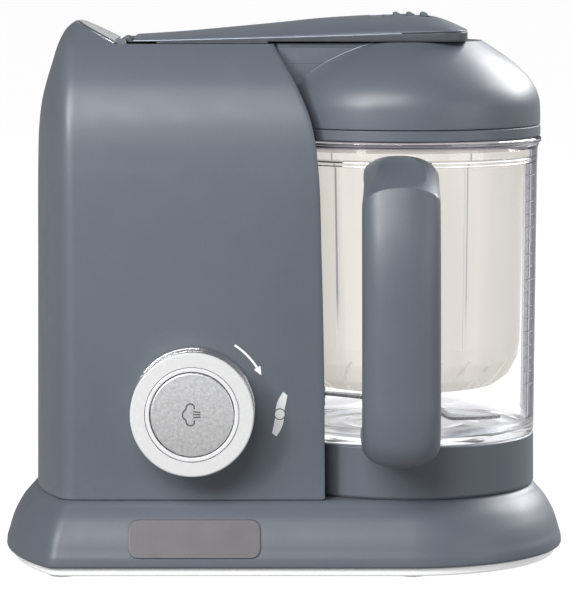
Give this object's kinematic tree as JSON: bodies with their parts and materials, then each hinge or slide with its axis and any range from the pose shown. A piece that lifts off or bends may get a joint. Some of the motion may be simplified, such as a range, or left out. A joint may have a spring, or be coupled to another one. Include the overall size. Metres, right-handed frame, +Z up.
{
  "type": "baby food maker",
  "caption": "Countertop baby food steamer and blender: a hinged lid arm over a clear handled bowl with a basket and blade, beside a body with a boiler, motor and front knob.",
  "frame": {"origin": "centre of the bounding box's bottom face, on the surface the feet stand on", "axes": "+X to the right as seen from the front, -Y to the front where the knob and handle are, +Z up"},
  "size_m": [0.2698, 0.2156, 0.2629],
  "materials": {
    "slate_plastic": "satin, fine grain",
    "pale_plastic": "satin",
    "trim_plastic": "satin",
    "white_plastic": "gloss",
    "silver_button": "sparkle satin",
    "chrome_trim": "polished",
    "steel": "brushed",
    "brass": "plain",
    "copper_winding": "wound",
    "black_plastic": "matte",
    "rubber": "matte",
    "silicone": "matte",
    "board": "satin",
    "clear_plastic": "clear, gloss",
    "cream_plastic": "translucent, satin",
    "plaque_plastic": "satin"
  },
  "bodies": {
    "housing": {"base_shell": "slate_plastic", "bottom_plate": "pale_plastic", "foot_front_left": "rubber", "foot_front_right": "rubber", "foot_rear_left": "rubber", "foot_rear_right": "rubber", "base_plaque": "plaque_plastic", "body_shell": "slate_plastic", "hinge_trim": "trim_plastic", "hinge_pin": "steel", "boiler_tank": "steel", "boiler_gasket": "silicone", "heating_element": "steel", "thermostat": "pale_plastic", "steam_nozzle": "brass", "control_board": "board", "steam_switch": "black_plastic", "blend_switch": "black_plastic", "lid_switch": "black_plastic", "motor_stator": "steel", "motor_bracket": "pale_plastic", "drive_belt": "rubber", "drive_bearing": "brass", "strain_relief": "black_plastic", "power_cord": "rubber", "plug_body": "black_plastic", "plug_pin_front": "steel", "plug_pin_rear": "steel", "knob_bezel": "chrome_trim", "knob_spring": "steel"},
    "lid": {"lid_dome": "slate_plastic", "lid_skirt": "slate_plastic", "lid_inner_plate": "pale_plastic", "lid_seal": "silicone", "boiler_plug": "silicone", "arm_cover": "slate_plastic", "arm_base": "slate_plastic"},
    "slider": {"release_slider": "slate_plastic"},
    "knob": {"knob_ring": "white_plastic", "knob_collar": "chrome_trim", "knob_shaft": "black_plastic", "button_spring": "steel"},
    "button": {"steam_button": "silver_button"},
    "rotor": {"motor_shaft": "steel", "motor_armature": "copper_winding", "motor_pulley": "black_plastic", "motor_fan": "black_plastic"},
    "drive": {"drive_shaft": "steel", "driven_pulley": "black_plastic", "lower_coupling": "black_plastic"},
    "bowl": {"bowl_jug": "clear_plastic", "bowl_ring": "slate_plastic", "bowl_handle": "slate_plastic", "blade_bush": "brass"},
    "blade_unit": {"blade": "steel", "blade_hub": "black_plastic", "blade_shaft": "steel", "upper_coupling": "black_plastic"},
    "basket": {"steam_basket": "cream_plastic"},
    "interlock": {"interlock_pin": "white_plastic"}
  },
  "joints": [
    {"name": "lid_hinge", "type": "hinge", "parent": "housing", "child": "lid", "pos_m": [-0.0778, 0, 0.2484], "axis": [0, -1, 0], "range_deg": [0, 100]},
    {"name": "release_slide", "type": "slide", "parent": "lid", "child": "slider", "axis": [-1, 0, 0], "range_m": [0, 0.006], "stiffness_N_per_m": 300},
    {"name": "knob_turn", "type": "hinge", "parent": "housing", "child": "knob", "pos_m": [-0.043, -0.082, 0.0775], "axis": [0, 1, 0], "range_deg": [0, 40], "stiffness_Nm_per_rad": 0.1, "deforming": ["knob_spring"]},
    {"name": "button_press", "type": "slide", "parent": "knob", "child": "button", "axis": [0, 1, 0], "range_m": [0, 0.002], "stiffness_N_per_m": 800, "deforming": ["button_spring"]},
    {"name": "motor_spin", "type": "hinge", "parent": "housing", "child": "rotor", "pos_m": [-0.049, 0.01, 0.06], "axis": [0, 0, 1], "continuous": true},
    {"name": "drive_spin", "type": "hinge", "parent": "housing", "child": "drive", "pos_m": [0.0583, 0, 0.02], "axis": [0, 0, 1], "continuous": true},
    {"name": "bowl_lift", "type": "slide", "parent": "housing", "child": "bowl", "axis": [0, 0, 1], "range_m": [0, 0.062]},
    {"name": "blade_spin", "type": "hinge", "parent": "bowl", "child": "blade_unit", "pos_m": [0.0583, 0, 0.06], "axis": [0, 0, 1], "continuous": true},
    {"name": "basket_lift", "type": "slide", "parent": "bowl", "child": "basket", "axis": [0, 0, 1], "range_m": [0, 0.045]},
    {"name": "interlock_rise", "type": "slide", "parent": "housing", "child": "interlock", "axis": [0, 0, 1], "range_m": [0, 0.0021]}
  ],
  "couplings": [
    {"joint": "drive_spin", "follows": "motor_spin", "ratio": 0.34615},
    {"joint": "blade_spin", "follows": "motor_spin", "ratio": 0.34615},
    {"joint": "bowl_lift", "follows": "lid_hinge", "m_per_rad": 0.035},
    {"joint": "basket_lift", "follows": "lid_hinge", "m_per_rad": 0.025},
    {"joint": "interlock_rise", "follows": "lid_hinge", "m_per_rad": 0.00115}
  ]
}
